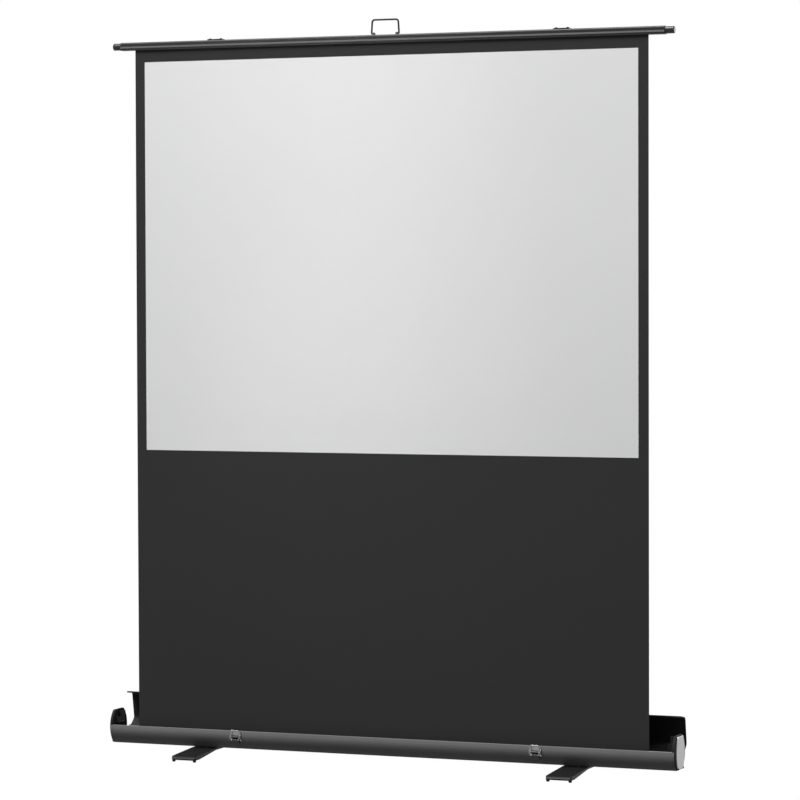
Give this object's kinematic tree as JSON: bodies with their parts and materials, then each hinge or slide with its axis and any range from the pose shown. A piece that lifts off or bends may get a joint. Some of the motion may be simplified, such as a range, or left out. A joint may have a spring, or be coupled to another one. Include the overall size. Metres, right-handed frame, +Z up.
{
  "type": "portable projection screen",
  "caption": "Free-standing pull-up projection screen: floor case with spring roller, open rear lid, swivel feet, crossing knee arms behind the sheet and a top bar with a pull handle",
  "frame": {"origin": "on the floor, midway between the two foot pivots", "axes": "X along the case to the viewer's right, Y to the back, Z up"},
  "size_m": [1.8478, 0.37, 2.2546],
  "materials": {
    "case_satin": "dark satin anodised extrusion",
    "black_plastic": "fine matte moulding",
    "silver_cover": "light satin",
    "arm_metal": "black satin paint",
    "bar_metal": "dark satin anodised extrusion",
    "bright_steel": "plated",
    "dark_steel": "black zinc",
    "plain_steel": "plain turned",
    "foot_metal": "black powder coat",
    "pad_rubber": "soft rubber",
    "grip_plastic": "soft grip",
    "black_cloth": "black border and backing",
    "white_coat": "matte white projection coat"
  },
  "bodies": {
    "case": {"base_shell": "case_satin", "left_end_cap": "case_satin", "right_end_cap": "case_satin", "left_end_cover": "silver_cover", "right_end_cover": "silver_cover", "end_screws": "bright_steel", "left_roller_bracket": "dark_steel", "right_roller_bracket": "dark_steel", "spring_arbor": "plain_steel", "left_pivot_block": "dark_steel", "right_pivot_block": "dark_steel", "left_base_pin": "plain_steel", "right_base_pin": "plain_steel", "base_hinge_leaves": "dark_steel", "hinge_pins": "plain_steel", "left_latch_plate": "bright_steel", "right_latch_plate": "bright_steel", "latch_pins": "bright_steel", "foot_bolts": "plain_steel", "foot_washers": "plain_steel"},
    "right_lower": {"right_lower_arm": "arm_metal", "right_elbow_pin": "plain_steel"},
    "right_upper": {"right_upper_arm": "arm_metal"},
    "left_lower": {"left_lower_arm": "arm_metal", "left_elbow_pin": "plain_steel"},
    "left_upper": {"left_upper_arm": "arm_metal"},
    "bar": {"top_bar": "bar_metal", "left_bar_plug": "black_plastic", "right_bar_plug": "black_plastic", "keder_rod": "black_cloth", "left_saddle": "dark_steel", "right_saddle": "dark_steel", "saddle_screws": "dark_steel", "left_top_pin": "plain_steel", "right_top_pin": "plain_steel", "handle_lugs": "dark_steel", "screen_sheet": "black_cloth", "picture_surface": "white_coat"},
    "handle": {"pull_handle": "dark_steel"},
    "roller": {"roller_tube": "plain_steel", "wound_sheet": "black_cloth", "roller_idle_plug": "black_plastic", "roller_spring_plug": "black_plastic", "roller_spring": "plain_steel"},
    "lid": {"lid_shell": "case_satin", "lid_hinge_leaves": "dark_steel", "lid_keepers": "bright_steel", "carry_brackets": "dark_steel"},
    "carry": {"carry_bail": "dark_steel", "carry_grip": "grip_plastic"},
    "left_foot_body": {"left_foot": "foot_metal", "left_foot_pads": "pad_rubber"},
    "right_foot_body": {"right_foot": "foot_metal", "right_foot_pads": "pad_rubber"},
    "left_lever": {"left_latch_lever": "black_plastic"},
    "left_loop": {"left_latch_loop": "bright_steel"},
    "right_lever": {"right_latch_lever": "black_plastic"},
    "right_loop": {"right_latch_loop": "bright_steel"}
  },
  "joints": [
    {"name": "fold", "type": "hinge", "parent": "case", "child": "right_lower", "pos_m": [-0.562, 0.02325, 0.06], "axis": [0, 1, 0], "range_deg": [0, 47.57], "deforming": ["screen_sheet", "picture_surface"]},
    {"name": "right_elbow", "type": "hinge", "parent": "right_lower", "child": "right_upper", "pos_m": [0.38239, 0.03325, 1.12712], "axis": [0, 1, 0], "range_deg": [-95.13, 0]},
    {"name": "bar_level", "type": "hinge", "parent": "right_upper", "child": "bar", "pos_m": [-0.562, 0.03325, 2.19425], "axis": [0, 1, 0], "range_deg": [0, 47.57]},
    {"name": "left_base", "type": "hinge", "parent": "case", "child": "left_lower", "pos_m": [0.562, 0.03325, 0.06], "axis": [0, 1, 0], "range_deg": [-47.57, 0]},
    {"name": "left_elbow", "type": "hinge", "parent": "left_lower", "child": "left_upper", "pos_m": [-0.38239, 0.02325, 1.12712], "axis": [0, 1, 0], "range_deg": [0, 95.13]},
    {"name": "roller_turn", "type": "hinge", "parent": "case", "child": "roller", "pos_m": [0, -0.0051, 0.06], "axis": [1, 0, 0], "range_deg": [0, 5898.18]},
    {"name": "handle_swing", "type": "hinge", "parent": "bar", "child": "handle", "pos_m": [0, -0.014, 2.2099], "axis": [1, 0, 0], "range_deg": [-90, 90]},
    {"name": "lid_swing", "type": "hinge", "parent": "case", "child": "lid", "pos_m": [0, 0.0535, 0.071], "axis": [1, 0, 0], "range_deg": [0, 6]},
    {"name": "carry_swing", "type": "hinge", "parent": "lid", "child": "carry", "pos_m": [0, 0.10388, 0.13249], "axis": [1, 0, 0], "range_deg": [0, 90]},
    {"name": "left_foot_swivel", "type": "hinge", "parent": "case", "child": "left_foot_body", "pos_m": [-0.605, 0, 0.028], "axis": [0, 0, 1], "range_deg": [0, 90]},
    {"name": "right_foot_swivel", "type": "hinge", "parent": "case", "child": "right_foot_body", "pos_m": [0.605, 0, 0.028], "axis": [0, 0, 1], "range_deg": [-90, 0]},
    {"name": "left_lever_swing", "type": "hinge", "parent": "case", "child": "left_lever", "pos_m": [-0.488, -0.0566, 0.066], "axis": [1, 0, 0], "range_deg": [-150, 0]},
    {"name": "left_loop_swing", "type": "hinge", "parent": "left_lever", "child": "left_loop", "pos_m": [-0.488, -0.0604, 0.058], "axis": [1, 0, 0], "range_deg": [0, 150]},
    {"name": "right_lever_swing", "type": "hinge", "parent": "case", "child": "right_lever", "pos_m": [0.488, -0.0566, 0.066], "axis": [1, 0, 0], "range_deg": [-150, 0]},
    {"name": "right_loop_swing", "type": "hinge", "parent": "right_lever", "child": "right_loop", "pos_m": [0.488, -0.0604, 0.058], "axis": [1, 0, 0], "range_deg": [0, 150]}
  ],
  "couplings": [
    {"joint": "right_elbow", "follows": "fold", "ratio": -2},
    {"joint": "bar_level", "follows": "fold", "ratio": 1},
    {"joint": "left_base", "follows": "fold", "ratio": -1},
    {"joint": "left_elbow", "follows": "fold", "ratio": 2},
    {"joint": "roller_turn", "follows": "fold", "ratio": 124},
    {"joint": "left_loop_swing", "follows": "left_lever_swing", "ratio": -1},
    {"joint": "right_loop_swing", "follows": "right_lever_swing", "ratio": -1}
  ]
}
